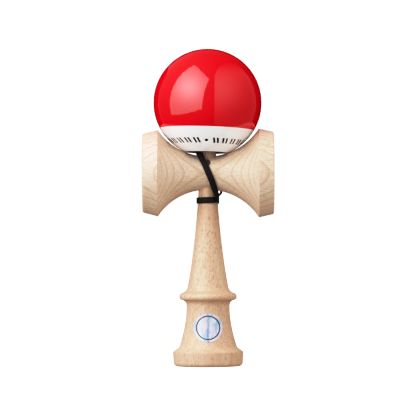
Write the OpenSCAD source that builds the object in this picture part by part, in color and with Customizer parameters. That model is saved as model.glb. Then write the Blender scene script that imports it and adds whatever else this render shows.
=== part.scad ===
// Kendama: a turned handle with a spike, a cross cup pushed onto its taper and
// a lacquered ball on the spike, tied together by a flat cord.
// Millimetres. +Z runs up the handle, the big cup faces +X, and the origin is the
// middle of the ring that the handle stands on.

/* [Handle] */
// Diameter of the base rim at its widest
base_d = 39.2; // [34:0.2:44]
// Diameter of the base rim near the table
base_low_d = 38.6; // [34:0.2:43]
// Height of the base rim
base_rim_h = 8.7; // [7:0.1:9.5]
// Diameter where the base flare meets the shoulder of the rim
flare_low_d = 32.2; // [28:0.2:33]
// Height of the foot of the flare
flare_low_z = 10.9; // [10:0.1:13]
// Diameter of the neck under the collar
neck_d = 24; // [20:0.2:26]
// Height of the neck
neck_z = 33.3; // [28:0.1:34]
// Diameter of the collar
collar_d = 32; // [28:0.2:36]
// Height of the middle of the collar
collar_z = 38.8; // [37:0.1:40]
// Diameter of the shaft just above the collar
shaft_low_d = 22.8; // [20:0.2:25]
// Height at which the shaft leaves the collar
shaft_low_z = 43.8; // [42.5:0.1:48]
// Diameter of the shaft under the cross cup
seat_low_d = 10.2; // [9.6:0.1:10.8]
// Diameter of the spike where it leaves the cross cup
seat_high_d = 9.4; // [8:0.1:9.6]
// Diameter of the spike just under its round tip
tip_d = 5; // [3:0.1:6]
// Depth of the cup in the base
base_cup_depth = 6; // [4.5:0.1:7]
// Width of the ring that the handle stands on
base_lip_w = 1.4; // [1:0.1:2]

/* [Cross cup] */
// Height of the axis of the cross cup
cup_z = 107; // [104:0.1:108]
// Diameter of the waist
waist_d = 18.6; // [17:0.1:19]
// Reach of the big cup's rim from the middle
big_rim_x = 36.8; // [35:0.1:42]
// Diameter of the big cup's rim
big_rim_d = 46.2; // [42:0.1:48]
// Reach of the ridge behind the big cup
big_ridge_x = 28.4; // [27:0.1:31]
// Diameter of the ridge behind the big cup
big_ridge_d = 49.5; // [47:0.1:51]
// Depth of the big cup
big_cup_depth = 9; // [7:0.1:11]
// Reach of the small cup's rim from the middle
small_rim_x = 36.3; // [34:0.1:40]
// Diameter of the small cup's rim
small_rim_d = 44.2; // [40:0.1:46]
// Reach of the ridge behind the small cup
small_ridge_x = 27.7; // [26:0.1:30]
// Diameter of the ridge behind the small cup
small_ridge_d = 48.1; // [46:0.1:50]
// Depth of the small cup
small_cup_depth = 8.5; // [7:0.1:10]
// Width of the flat lip round each cup
cup_lip_w = 0.9; // [0.5:0.1:1.5]
// Radius of the rounded rim of each cup
cup_rim_round = 1.2; // [0.6:0.1:1.6]
// Diameter of the cord holes in front and behind
cup_hole_d = 2.8; // [2.6:0.1:3.4]
// Height of the cord holes above the axis of the cross cup
cup_hole_up = 5.7; // [5:0.1:6]

/* [Ball] */
// Diameter of the ball
ball_d = 60; // [58:0.5:66]
// Diameter of the ball's mouth at its edge
mouth_d = 23.5; // [23:0.1:25]
// Diameter of the hole that takes the spike
bore_d = 21; // [20.8:0.1:22]
// Thickness of the wood left above that hole
crown_t = 11.8; // [9:0.1:14]
// Diameter of the cord hole in the top of the ball
top_hole_d = 3.5; // [3:0.1:4.5]
// Width of the bevel round the top of the cord hole
top_hole_bevel = 0.8; // [0.3:0.1:1.2]
// Thickness of the lacquer
coat_t = 0.3; // [0.2:0.05:0.5]
// Depth below the middle at which the red lacquer gives way to white
band_drop = 14.7; // [8:0.1:20]
// Angle by which the ball leans back on the spike
lean_back = 2.8; // [0:0.1:3.2]
// Angle by which the ball leans to the big cup's side
lean_side = 1.7; // [0:0.1:3]

/* [Cord and bead] */
// Width of the flat cord
cord_w = 3.4; // [3:0.1:3.8]
// Thickness of the flat cord
cord_t = 0.5; // [0.5:0.05:1.0]
// Diameter of the cord where it is drawn together in the bead
cord_round_d = 1.9; // [1.6:0.1:2.1]
// Diameter of the cord's thin end behind the cross cup
cord_end_d = 1.2; // [0.9:0.1:1.6]
// Diameter of the bead
bead_d = 7.5; // [7:0.1:8]
// Diameter of the hole in the bead
bead_hole_d = 2.8; // [2.6:0.1:3.2]
// Diameter of the knot that stops the bead
knot_d = 4.2; // [3.6:0.1:4.6]
// Whole turns of spare cord stowed in the ball
coil_turns = 4; // [2:1:4]
// Rise of the stowed cord in each turn
coil_pitch = 4.2; // [4.1:0.05:4.4]

/* [Label] */
// Diameter of the round label on the base
label_d = 16; // [10:0.5:17]
// Height of the middle of the label
label_z = 21.7; // [20:0.1:23]
// Thickness of the label
label_t = 0.2; // [0.1:0.05:0.4]

/* [Fits] */
// Gap all round the taper between the handle and the cross cup
taper_gap = 0.08; // [0.04:0.01:0.15]
// Gap between pieces that rest on each other
seat_gap = 0.3; // [0.1:0.05:0.4]
// Gap between the edge of the ball's mouth and the cross cup, before the ball leans
ball_gap = 0.2; // [0.1:0.02:0.8]
// Gap under a coat of lacquer or a label
skin_gap = 0.02; // [0.01:0.01:0.05]
// Gap between the stowed cord and the wall of the ball's hole
coil_gap = 0.5; // [0.4:0.05:0.6]

/* [Hidden] */
$fn = 96;

// How far a cutting tool runs past the face that it cuts
overrun = 2;
// Straight steps along each drawn curve of the handle, and round each small edge
curve_steps = 14;
edge_steps = 6;

// Handle: its small roundings, and where the curves of its outline bend, as shares of what they join
base_round = 2.2;
rim_edge = 1;
collar_half_h = 2;
collar_low_round = 1.4;
collar_high_round = 1.8;
lip_bevel = 0.6;
rim_shoulder_share = 0.67;
cove_bend_shares = [0.75, 0.3];
flare_bend_shares = [0.39, 0.01];
shaft_bend_shares = [0.46, 0.18];
spike_bend_shares = [0.72, 0.36];
under_collar_bend_shares = [0, 0.3];
over_collar_bend_shares = [0.2, 0.55];
fillet_rise_shares = [0.55, 0.88];
// How far out a rounded edge lies between its bends, and how far the collar's bends dip from its faces
bend_reach_share = 0.75;
collar_dip_shares = [0.1, 0.28];

waist_r = waist_d / 2;
seat_low_z = cup_z - waist_r;
seat_high_z = cup_z + waist_r;
tip_r = tip_d / 2;
base_lip_r = base_low_d / 2 - base_round - base_lip_w;
base_cup_r = dish_r(base_lip_r, base_cup_depth);

// Cross cup: the arcs that run from the waist to each ridge
big_saddle_r = saddle_r(big_ridge_d / 2, big_ridge_x);
small_saddle_r = saddle_r(small_ridge_d / 2, small_ridge_x);

// Ball: its mouth is held just above the cross cup, by the bead that rests on the tip of the spike
ball_r = ball_d / 2;
core_r = ball_r - coat_t;
bore_r = bore_d / 2;
mouth_drop = sqrt(ball_r * ball_r - mouth_d * mouth_d / 4);
mouth_seat = max(saddle_rise(big_saddle_r, mouth_d / 2), saddle_rise(small_saddle_r, mouth_d / 2));
ball_z = cup_z + mouth_seat + ball_gap + mouth_drop;
bore_end_up = ball_r - crown_t;
bead_r = bead_d / 2;
bead_up = bore_end_up - seat_gap - bead_r;
handle_h = ball_z + bead_up - bead_r - seat_gap;

// Cord: one cross section for its free stretches and one for its stowed turns,
// as shares of half its width and half its thickness
free_section_shares = [
  [1, 0.4], [0.7, 1], [-0.7, 1], [-1, 0.4], [-1, -0.4], [-0.7, -1], [0.7, -1], [1, -0.4]
];
coil_section_shares = [[1, 0], [0.7, 1], [-0.7, 1], [-1, 0], [-0.7, -1], [0.7, -1]];
rings_per_turn = 24;

// Route of the cord's end, from the hole behind the cross cup down to the handle:
// each point with the way that the flat of the cord faces
end_route = [
  [[0, 5.4, 112.7], [0, 0, 1]],
  [[0, 7.2, 112.7], [0, 0.1, 1]],
  [[0, 8.8, 112.5], [0, 0.5, 1]],
  [[0.3, 10, 111.4], [0, 1, 0.6]],
  [[1.2, 10.5, 108.9], [0, 1, 0.2]],
  [[2.6, 10.4, 106.1], [0, 1, -0.1]],
  [[4.2, 9.8, 103.1], [0.1, 1, -0.4]],
  [[5.8, 8.5, 100.1], [0.3, 1, -0.6]],
  [[7, 6.3, 97.9], [0.7, 0.8, -0.4]],
  [[7.5, 3.8, 96.6], [1, 0.4, -0.1]],
  [[7, 1.4, 95.7], [1, 0.1, 0]],
  [[6.15, -1, 94.9], [1, -0.2, 0]],
  [[5.3, -3.2, 94.1], [1, -0.6, 0]]
];
// The turn round the handle: its radius, its height and the angles where it starts and ends
wrap_r = 6.05;
wrap_z = 92.2;
wrap_from = -50;
wrap_to = -338;
wrap_steps = 20;
// Rise of the turn towards the big cup, as a share of the way there
wrap_rise_share = 0.04;
wrap_route = [
  for (i = [0 : wrap_steps])
    let (a = wrap_from + (wrap_to - wrap_from) * i / wrap_steps, x = wrap_r * cos(a))
      [[x, wrap_r * sin(a), wrap_z + x * wrap_rise_share], [cos(a), sin(a), 0]]
];
// Over its own end again at the front
hitch_route = [
  [[6.05, 0.8, 92.2], [1, 0, 0]],
  [[6.1, -1.2, 91.8], [1, -0.2, 0]],
  [[5.95, -3.1, 91.9], [1, -0.5, 0]],
  [[5.5, -4.9, 93.2], [1, -0.8, 0]]
];
tie_route = concat(end_route, wrap_route, hitch_route);
// Free stretch over the front of the cross cup to the mouth of the ball
front_route = [
  [[4.9, -6.2, 95.4], [0.9, -1, 0]],
  [[4, -7.3, 97.8], [0.4, -1, 0]],
  [[3.1, -8.3, 100.1], [0.1, -1, -0.2]],
  [[2.5, -9.2, 102.2], [0, -1, -0.4]],
  [[1.6, -9.8, 104.5], [0, -1, -0.2]],
  [[0.6, -10, 106.9], [0, -1, 0]],
  [[-0.4, -9.8, 109.3], [0, -1, 0.2]],
  [[-1.5, -9.1, 111.9], [0, -1, 0.4]],
  [[-2.8, -8.1, 114.5], [0, -1, 0.4]],
  [[-4.2, -7.1, 117.1], [0, -1, 0.3]],
  [[-5.2, -6.2, 119.7], [-0.3, -1, 0.1]]
];

// Entry of the cord into the stowed turns, in the ball's own frame: angle, radius, height,
// and the way that the flat faces, outwards and upwards
coil_in_route = [
  [221, 5.6, -22, 1, 0],
  [222, 5.7, -20.2, 1, 0],
  [227, 6.4, -18.6, 1, 0],
  [236, 7.5, -17.4, 1, 0],
  [249, 8.6, -16.5, 1, 0],
  [266, 9.4, -15.7, 1, 0]
];
coil_from = 285;
coil_end_angle = 145;
coil_base_up = -15;
coil_to = coil_end_angle + 360 * (coil_turns + 1);
coil_r = bore_r - coil_gap - cord_t / 2;
coil_top_up = coil_base_up + coil_pitch * (coil_to - coil_from) / 360;
coil_steps = round(rings_per_turn * (coil_to - coil_from) / 360);
coil_loop_route = [
  for (i = [0 : coil_steps])
    let (share = i / coil_steps)
      [coil_from + (coil_to - coil_from) * share, coil_r,
       coil_base_up + (coil_top_up - coil_base_up) * share, 1, 0]
];
// From the last turn up to the bead: turn past the end, share of the radius, share of the rise,
// and the way that the flat faces
riser_shares = [
  [9, 1, 0.08, 1, 0],
  [18, 1, 0.24, 1, 0],
  [26, 0.99, 0.45, 1, 0],
  [32, 0.96, 0.68, 1, 0.2],
  [35, 0.9, 0.86, 1, 0.7],
  [35, 0.8, 0.97, 0.5, 1],
  [35, 0.68, 1, 0, 1],
  [35, 0.54, 1, 0, 1]
];
bead_angle = coil_to + riser_shares[len(riser_shares) - 1][0];
coil_riser_route = [
  for (s = riser_shares)
    [coil_to + s[0], coil_r * s[1], coil_top_up + (bead_up - coil_top_up) * s[2], s[3], s[4]]
];
coil_end_route = [
  [bead_angle, bead_r, bead_up, 0, 1],
  [bead_angle, 0, bead_up, 0, 1],
  [bead_angle, -bead_r - seat_gap, bead_up, 0, 1]
];
coil_route = concat(coil_in_route, coil_loop_route, coil_riser_route, coil_end_route);
flat_count = len(coil_route) - len(coil_end_route);
// Rings of the riser over which the flat cord is drawn together
draw_rings = 3;

// The free cord as one route, which ends just under the stowed turns
free_route = concat(tie_route, front_route, [coil_entry(-cord_w / 2), coil_entry(-seat_gap)]);

function unit(v) = v / norm(v);
function bezier(a, b, c, d, t) =
  a * pow(1 - t, 3) + b * 3 * t * pow(1 - t, 2) + c * 3 * t * t * (1 - t) + d * pow(t, 3);
function curve(a, b, c, d) = [for (i = [0 : curve_steps]) bezier(a, b, c, d, i / curve_steps)];
function arc(centre, r, from, to) =
  [for (i = [0 : edge_steps]) let (a = from + (to - from) * i / edge_steps) centre + r * [cos(a), sin(a)]];
function mix(a, b, share) = a + (b - a) * share;
function reversed(list) = [for (i = [len(list) - 1 : -1 : 0]) list[i]];

// A bowed line up the handle, whose bends lie a third and two thirds of the way up
function bow(low, high, bend_shares) = curve(
  low,
  [mix(high.x, low.x, bend_shares[0]), mix(low.y, high.y, 1 / 3)],
  [mix(high.x, low.x, bend_shares[1]), mix(low.y, high.y, 2 / 3)],
  high
);

// Radius of the arc that leaves the waist level and reaches a ridge
function saddle_r(ridge_r, ridge_x) =
  (ridge_x * ridge_x + pow(ridge_r - waist_r, 2)) / (2 * (ridge_r - waist_r));

// Height of such an arc above the axis, at a distance from the waist
function saddle_rise(arc_r, x) = waist_r + arc_r - sqrt(arc_r * arc_r - x * x);

// Radius of a dish of a given mouth and depth
function dish_r(mouth_r, depth) = (mouth_r * mouth_r + depth * depth) / (2 * depth);

// A direction in the ball's own frame, turned as the ball leans
function leaned(v) =
  let (y = v.y * cos(-lean_back) - v.z * sin(-lean_back),
       z = v.y * sin(-lean_back) + v.z * cos(-lean_back))
    [v.x * cos(lean_side) + z * sin(lean_side), y, z * cos(lean_side) - v.x * sin(lean_side)];
function in_frame(v) = [0, 0, ball_z] + leaned(v);
function round_point(w) = [w[1] * cos(w[0]), w[1] * sin(w[0]), w[2]];
function round_facing(w) = [w[3] * cos(w[0]), w[3] * sin(w[0]), w[4]];
// The start of the stowed turns, a little lower where drop is below zero
function coil_entry(drop) =
  [in_frame(round_point(coil_in_route[0]) + [0, 0, drop]), leaned(round_facing(coil_in_route[0]))];

// One ring of a swept cord, which faces the way that its flat faces
function cord_ring(centre, along, facing, w, t, section_shares) =
  let (side = unit(cross(along, facing)), out = cross(side, along))
    [for (s = section_shares) centre + side * s[0] * w / 2 + out * s[1] * t / 2];
function along_route(points, i) =
  unit(points[min(i + 1, len(points) - 1)] - points[max(i - 1, 0)]);
function cord_rings(points, facings, widths, heights, section_shares) = [
  for (i = [0 : len(points) - 1])
    cord_ring(points[i], along_route(points, i), facings[i], widths[i], heights[i], section_shares)
];

// A solid over a list of rings, closed at both ends
module ring_solid(rings) {
  sides = len(rings[0]);
  last = len(rings) - 1;
  points = [for (ring = rings) each ring];
  walls = [
    for (i = [0 : last - 1], j = [0 : sides - 1])
      let (k = (j + 1) % sides, a = i * sides, b = a + sides)
        each [[a + j, b + j, b + k], [a + j, b + k, a + k]]
  ];
  start_cap = [for (j = [1 : sides - 2]) [0, j, j + 1]];
  end_cap = [for (j = [1 : sides - 2]) [last * sides, last * sides + j + 1, last * sides + j]];
  polyhedron(points = points, faces = concat(walls, start_cap, end_cap));
}

// Rings of the free cord, and the solid between two of them
free_rings = cord_rings(
  [for (p = free_route) p[0]],
  [for (p = free_route) p[1]],
  [for (i = [0 : len(free_route) - 1]) i < len(end_route) ? cord_end_d : cord_w],
  [for (i = [0 : len(free_route) - 1]) i < len(end_route) ? cord_end_d : cord_t],
  free_section_shares
);
module free_cord(from, to) {
  color("#1d1b1b") ring_solid([for (i = [from : to]) free_rings[i]]);
}

// Places its children in the ball's own frame
module in_ball() {
  translate([0, 0, ball_z]) rotate([-lean_back, lean_side, 0]) children();
}

flare_outline = bow([flare_low_d / 2, flare_low_z], [neck_d / 2, neck_z], flare_bend_shares);
shaft_outline = bow([shaft_low_d / 2, shaft_low_z], [seat_low_d / 2, seat_low_z], shaft_bend_shares);
spike_outline = bow([seat_high_d / 2, seat_high_z], [tip_r, handle_h - tip_r], spike_bend_shares);

// The curve from the shaft or the neck out to the edge of the collar
function collar_fillet(inner, edge, bend_shares) = curve(
  inner,
  [mix(inner.x, edge.x, bend_shares[0]), mix(inner.y, edge.y, fillet_rise_shares[0])],
  [mix(inner.x, edge.x, bend_shares[1]), mix(inner.y, edge.y, fillet_rise_shares[1])],
  edge
);

// The nose of the collar, between its lower and its upper face
collar_low = [collar_d / 2 - collar_low_round, collar_z - collar_half_h];
collar_high = [collar_d / 2 - collar_high_round, collar_z + collar_half_h];
collar_nose = curve(
  collar_low,
  collar_low + [collar_low_round / bend_reach_share, collar_half_h * collar_dip_shares[0]],
  collar_high + [collar_high_round / bend_reach_share, -collar_half_h * collar_dip_shares[1]],
  collar_high
);

// The hollow between the top of the base rim and the foot of the flare
rim_outline = arc([base_d / 2 - rim_edge, base_rim_h - rim_edge], rim_edge, 0, 90 * rim_shoulder_share);
rim_end = rim_outline[edge_steps];
flare_foot = flare_outline[0];
cove_outline = curve(
  rim_end,
  rim_end + unit(rim_end - rim_outline[edge_steps - 1]) * (rim_end.x - flare_foot.x) * cove_bend_shares[0],
  flare_foot - unit(flare_outline[1] - flare_foot) * (flare_foot.y - rim_end.y) * cove_bend_shares[1],
  flare_foot
);

module handle_outline() {
  polygon(concat(
    [[0, 0]],
    arc([base_low_d / 2 - base_round, base_round], base_round, -90, 0),
    rim_outline,
    cove_outline,
    flare_outline,
    collar_fillet([neck_d / 2, neck_z], collar_low, under_collar_bend_shares),
    collar_nose,
    reversed(collar_fillet([shaft_low_d / 2, shaft_low_z], collar_high, over_collar_bend_shares)),
    shaft_outline,
    spike_outline,
    arc([0, handle_h - tip_r], tip_r, 0, 90)
  ));
}

// Turned handle with the spike, the shaft, the collar and the cup in its base
module handle() {
  color("#dfc09a") difference() {
    rotate_extrude() handle_outline();
    translate([0, 0, base_cup_depth - base_cup_r]) sphere(r = base_cup_r);
    translate([0, 0, -overrun])
      cylinder(r1 = base_lip_r + lip_bevel + overrun, r2 = base_lip_r, h = lip_bevel + overrun);
  }
}

// Round label that follows the flare of the base
module base_label() {
  inside = [for (p = flare_outline) p + [skin_gap, 0]];
  outside = reversed([for (p = inside) p + [label_t, 0]]);
  color("#c9cfdb") intersection() {
    rotate_extrude() polygon(concat(inside, outside));
    translate([0, 0, label_z]) rotate([90, 0, 0]) cylinder(d = label_d, h = base_d);
  }
}

// Half of the outline of the cross cup, from the waist to one rim
module cup_outline(ridge_r, ridge_x, rim_r, rim_x, arc_r) {
  edge = [rim_r - cup_rim_round, rim_x - cup_rim_round];
  difference() {
    polygon(concat(
      [[0, 0], [ridge_r, 0], [ridge_r, ridge_x]],
      arc(edge, cup_rim_round, 0, 90),
      [[0, rim_x]]
    ));
    translate([waist_r + arc_r, 0]) circle(r = arc_r);
  }
}

// One end of the cross cup, turned about X, with its dish
module cup_end(ridge_r, ridge_x, rim_r, rim_x, arc_r, depth) {
  lip_r = rim_r - cup_rim_round - cup_lip_w;
  dish = dish_r(lip_r, depth);
  difference() {
    rotate_extrude() cup_outline(ridge_r, ridge_x, rim_r, rim_x, arc_r);
    translate([0, 0, rim_x - depth + dish]) sphere(r = dish);
  }
}

// Cross cup with its two cups, the tapered hole for the handle and the cord holes
module cross_cup() {
  rise = waist_d + 2 * overrun;
  slope = (seat_low_d - seat_high_d) / 2 / waist_d;
  color("#e6d2b0") difference() {
    translate([0, 0, cup_z]) union() {
      rotate([0, 90, 0])
        cup_end(big_ridge_d / 2, big_ridge_x, big_rim_d / 2, big_rim_x, big_saddle_r, big_cup_depth);
      rotate([0, -90, 0])
        cup_end(small_ridge_d / 2, small_ridge_x, small_rim_d / 2, small_rim_x, small_saddle_r,
                small_cup_depth);
    }
    translate([0, 0, seat_low_z - overrun])
      cylinder(r1 = seat_low_d / 2 + taper_gap + slope * overrun,
               r2 = seat_high_d / 2 + taper_gap - slope * overrun, h = rise);
    translate([0, 0, cup_z + cup_hole_up])
      rotate([90, 0, 0]) cylinder(d = cup_hole_d, h = rise, center = true);
  }
}

// End of the cord from its hole behind the cross cup, with its turn and hitch on the handle
module cord_tie() {
  free_cord(0, len(tie_route) - 1);
}

// Free stretch of the cord from the hitch to the mouth of the ball
module cord_lead() {
  free_cord(len(tie_route) - 1, len(free_route) - 1);
}

// Spare cord stowed in the ball, whose end goes through the bead
coil_points = [for (w = coil_route) round_point(w)];
coil_facings = [for (w = coil_route) round_facing(w)];
function drawn_share(i) = min(max((i - (flat_count - 1 - draw_rings)) / draw_rings, 0), 1);
coil_rings = cord_rings(
  coil_points,
  coil_facings,
  [for (i = [0 : len(coil_route) - 1]) mix(cord_w, cord_round_d, drawn_share(i))],
  [for (i = [0 : len(coil_route) - 1]) mix(cord_t, cord_round_d, drawn_share(i))],
  coil_section_shares
);
// Rings closer along the cord than this share of a turn are neighbours, not another turn
neighbour_share = 0.6;
neighbour_rings = round(rings_per_turn * neighbour_share);
coil_gaps = [
  for (i = [0 : len(coil_rings) - 1 - neighbour_rings])
    for (j = [i + neighbour_rings : min(i + 2 * rings_per_turn, len(coil_rings) - 1)])
      for (p = coil_rings[i], q = coil_rings[j]) norm(p - q)
];
function route_length(points) = total([for (i = [1 : len(points) - 1]) norm(points[i] - points[i - 1])]);
function total(list) = list * [for (v = list) 1];
free_length = route_length([for (p = free_route) p[0]]);
echo(str("Stowed cord: least gap to itself ", min(coil_gaps), " mm, length ", route_length(coil_points), " mm"));
echo(str("Free cord: length ", free_length, " mm"));
echo(str("Handle: height ", handle_h, " mm, middle of the ball at ", ball_z, " mm"));

module cord_coil() {
  color("#1d1b1b") in_ball() ring_solid(coil_rings);
}

// Bead on the end of the cord, between the tip of the spike and the end of the ball's hole
module bead() {
  color("#c79a63") in_ball() translate([0, 0, bead_up]) rotate([0, 90, bead_angle])
    rotate_extrude() difference() {
      circle(d = bead_d);
      translate([-bead_d, -bead_d]) square([bead_d + bead_hole_d / 2, 2 * bead_d]);
    }
}

// Knot that keeps the bead on the cord, a ball with a flat side towards the bead
knot_flat_share = 0.16;
module end_knot() {
  knot_flat = knot_d * knot_flat_share;
  color("#1d1b1b") in_ball() translate([0, 0, bead_up]) rotate([0, -90, bead_angle])
    translate([0, 0, bead_r + seat_gap - knot_flat]) rotate_extrude() intersection() {
      translate([0, knot_d / 2]) circle(d = knot_d);
      translate([0, knot_flat]) square([knot_d, knot_d]);
    }
}

// The hole for the spike, its bevelled mouth and the cord hole in the top
module ball_holes() {
  bevel = (mouth_d - bore_d) / 2;
  translate([0, 0, bore_end_up - ball_d]) cylinder(d = bore_d, h = ball_d);
  translate([0, 0, -mouth_drop - overrun])
    cylinder(r1 = mouth_d / 2 + overrun, r2 = bore_r, h = bevel + overrun);
  cylinder(d = top_hole_d, h = ball_d);
  translate([0, 0, ball_r - top_hole_bevel])
    cylinder(r1 = top_hole_d / 2, r2 = top_hole_d / 2 + top_hole_bevel + overrun,
             h = top_hole_bevel + overrun);
}

// Turned wooden ball under the lacquer
module ball_core() {
  color("#d9b98c") in_ball() difference() {
    sphere(r = core_r);
    ball_holes();
  }
}

// A shell of lacquer between two heights in the ball's own frame
module lacquer(low, high) {
  difference() {
    intersection() {
      sphere(r = ball_r);
      translate([-ball_d, -ball_d, low]) cube([2 * ball_d, 2 * ball_d, high - low]);
    }
    sphere(r = core_r + skin_gap);
    ball_holes();
  }
}

// Red lacquer over the upper part of the ball
module red_coat() {
  color("#d4121f") in_ball() lacquer(-band_drop, ball_d);
}

// White lacquer round the mouth
module white_band() {
  color("#efeeec") in_ball() lacquer(-ball_d, -band_drop);
}

handle();
base_label();
cross_cup();
cord_tie();
cord_lead();
cord_coil();
bead();
end_knot();
ball_core();
red_coat();
white_band();
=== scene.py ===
import math

import bpy
from mathutils import Matrix, Vector


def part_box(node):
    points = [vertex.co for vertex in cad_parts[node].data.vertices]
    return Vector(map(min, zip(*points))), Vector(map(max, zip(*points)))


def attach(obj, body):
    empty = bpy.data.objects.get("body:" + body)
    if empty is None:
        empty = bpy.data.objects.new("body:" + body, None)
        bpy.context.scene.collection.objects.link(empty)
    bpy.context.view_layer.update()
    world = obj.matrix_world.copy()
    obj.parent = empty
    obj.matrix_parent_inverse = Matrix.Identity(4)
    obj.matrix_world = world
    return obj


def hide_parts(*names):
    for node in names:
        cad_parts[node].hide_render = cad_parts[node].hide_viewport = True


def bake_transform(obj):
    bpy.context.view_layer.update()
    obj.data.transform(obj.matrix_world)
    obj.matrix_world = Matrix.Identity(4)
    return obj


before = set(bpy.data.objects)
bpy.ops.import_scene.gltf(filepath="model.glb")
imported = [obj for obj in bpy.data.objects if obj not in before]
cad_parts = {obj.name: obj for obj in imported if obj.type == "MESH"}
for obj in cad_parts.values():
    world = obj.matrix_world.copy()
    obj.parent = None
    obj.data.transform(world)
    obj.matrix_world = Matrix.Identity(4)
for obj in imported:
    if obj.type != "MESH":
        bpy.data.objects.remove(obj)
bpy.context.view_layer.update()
print("frame loaded:", ", ".join(sorted(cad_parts)))

mm = 0.001


# Camera: level and far off, with a long lens

cameraSet = {
    "x": 0.11 * mm, "distance": 2000 * mm, "height": 87.8 * mm, "sensor": 36.0, "lens": 311.7, "roll": 0.15,
}


def addCamera():
    data = bpy.data.cameras.new("productCamera")
    data.sensor_width = cameraSet["sensor"]
    data.lens = cameraSet["lens"]
    camera = bpy.data.objects.new("productCamera", data)
    camera.location = (cameraSet["x"], -cameraSet["distance"], cameraSet["height"])
    camera.rotation_euler = (math.radians(90), math.radians(cameraSet["roll"]), 0)
    bpy.context.scene.collection.objects.link(camera)
    bpy.context.scene.camera = camera


addCamera()
print("camera placed")


# Small helpers for modelling

def deselectAll():
    if bpy.context.object and bpy.context.object.mode != "OBJECT":
        bpy.ops.object.mode_set(mode="OBJECT")
    bpy.ops.object.select_all(action="DESELECT")


def pickPiece(piece):
    deselectAll()
    piece.select_set(True)
    bpy.context.view_layer.objects.active = piece


def editPiece(piece):
    pickPiece(piece)
    bpy.ops.object.mode_set(mode="EDIT")
    bpy.ops.mesh.select_all(action="SELECT")


def turnOutwards(piece):
    editPiece(piece)
    bpy.ops.mesh.normals_make_consistent(inside=False)
    bpy.ops.object.mode_set(mode="OBJECT")


def applyModifiers(piece):
    pickPiece(piece)
    for modifier in list(piece.modifiers):
        bpy.ops.object.modifier_apply(modifier=modifier.name)


def applyPlace(piece):
    pickPiece(piece)
    bpy.ops.object.transform_apply(location=True, rotation=True, scale=True)


def smoothPiece(piece, degrees):
    pickPiece(piece)
    bpy.ops.object.shade_smooth_by_angle(angle=math.radians(degrees))


def cutAway(piece, cutter):
    modifier = piece.modifiers.new("cut", "BOOLEAN")
    modifier.operation = "DIFFERENCE"
    modifier.solver = "EXACT"
    modifier.object = cutter
    applyModifiers(piece)
    bpy.data.objects.remove(cutter)


def meshPiece(name, corners, faces):
    mesh = bpy.data.meshes.new(name)
    mesh.from_pydata(corners, [], faces)
    piece = bpy.data.objects.new(name, mesh)
    bpy.context.scene.collection.objects.link(piece)
    return piece


def finishPiece(piece, body, slotName, *nodes):
    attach(piece, body)
    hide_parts(*nodes)


def mixed(a, b, share):
    return a + (b - a) * share


def clamped(value):
    return min(max(value, 0), 1)


def otherLeg(longSide, leg):
    # the third side of a right-angled triangle
    return math.sqrt(longSide ** 2 - leg ** 2)


def rayAt(degrees):
    a = math.radians(degrees)
    return Vector((math.cos(a), math.sin(a), 0))


# Outlines are lists of (radius, height) in millimetres

pointGap = 0.004  # closer points of an outline are one
mergeGap = 0.002


def arcLine(centre, radius, start, stop, steps=8):
    angles = [math.radians(start + (stop - start) * i / steps) for i in range(steps + 1)]
    return [(centre[0] + radius * math.cos(a), centre[1] + radius * math.sin(a)) for a in angles]


def bendLine(a, b, c, d, steps=28):
    points = []
    for i in range(steps + 1):
        t = i / steps
        weights = ((1 - t) ** 3, 3 * t * (1 - t) ** 2, 3 * t * t * (1 - t), t ** 3)
        points.append(tuple(sum(w * p[k] for w, p in zip(weights, (a, b, c, d))) for k in (0, 1)))
    return points


def straightLine(a, b, steps):
    return [(mixed(a[0], b[0], i / steps), mixed(a[1], b[1], i / steps)) for i in range(steps + 1)]


def joinLines(*lines):
    joined = []
    for line in lines:
        for point in line:
            if not joined or math.dist(point, joined[-1]) > pointGap:
                joined.append(point)
    return joined


def turnPiece(name, outline, place, steps=144, closed=False):
    # a lathe: one corner is drawn out along the outline, then spun round the axis of its place
    points = [place @ Vector((r * mm, 0, h * mm)) for r, h in outline]
    if closed:
        points.append(points[0])
    deselectAll()
    bpy.ops.mesh.primitive_plane_add(size=mm, location=points[0])
    piece = bpy.context.object
    piece.name = name
    applyPlace(piece)
    editPiece(piece)
    bpy.ops.mesh.merge(type="CENTER")
    for last, point in zip(points, points[1:]):
        bpy.ops.mesh.extrude_region_move(TRANSFORM_OT_translate={"value": point - last})
    bpy.ops.mesh.select_all(action="SELECT")
    bpy.ops.mesh.spin(steps=steps, angle=2 * math.pi, center=place.translation, axis=place.col[2].xyz)
    bpy.ops.mesh.select_all(action="SELECT")
    bpy.ops.mesh.remove_doubles(threshold=mergeGap * mm)
    bpy.ops.mesh.normals_make_consistent(inside=False)
    bpy.ops.object.mode_set(mode="OBJECT")
    return piece


# Handle: one turned piece from the cup in its base to the tip of the spike

handleSet = {
    "baseWide": 39.2, "baseLow": 38.6, "lowRound": 2.2, "rimHeight": 8.7, "rimRound": 1.0, "rimTurn": 60.3,
    "coveBends": (0.75, 0.3), "cupDepth": 6.0, "lipWidth": 1.4, "lipBevel": 0.6,
    "flareLow": (16.1, 10.9), "neck": (12.0, 33.3), "flareBends": (0.39, 0.01),
    "collarReach": 16.0, "collarHeight": 38.8, "collarHalf": 2.0,
    "collarLow": {"round": 1.4, "dip": 0.2}, "collarHigh": {"round": 1.8, "dip": 0.56}, "bendReach": 0.75,
    "underBends": (0.0, 0.3), "overBends": (0.2, 0.55), "filletRises": (0.55, 0.88),
    "shaftLow": (11.4, 43.8), "seatLow": (5.1, 97.7), "shaftBends": (0.46, 0.18),
    "seatHigh": (4.7, 116.3), "tipRound": 2.5, "tipHeight": 156.339, "spikeBends": (0.72, 0.36),
}


def bowLine(low, high, bends):
    return bendLine(
        low,
        (mixed(high[0], low[0], bends[0]), mixed(low[1], high[1], 1 / 3)),
        (mixed(high[0], low[0], bends[1]), mixed(low[1], high[1], 2 / 3)),
        high,
    )


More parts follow.
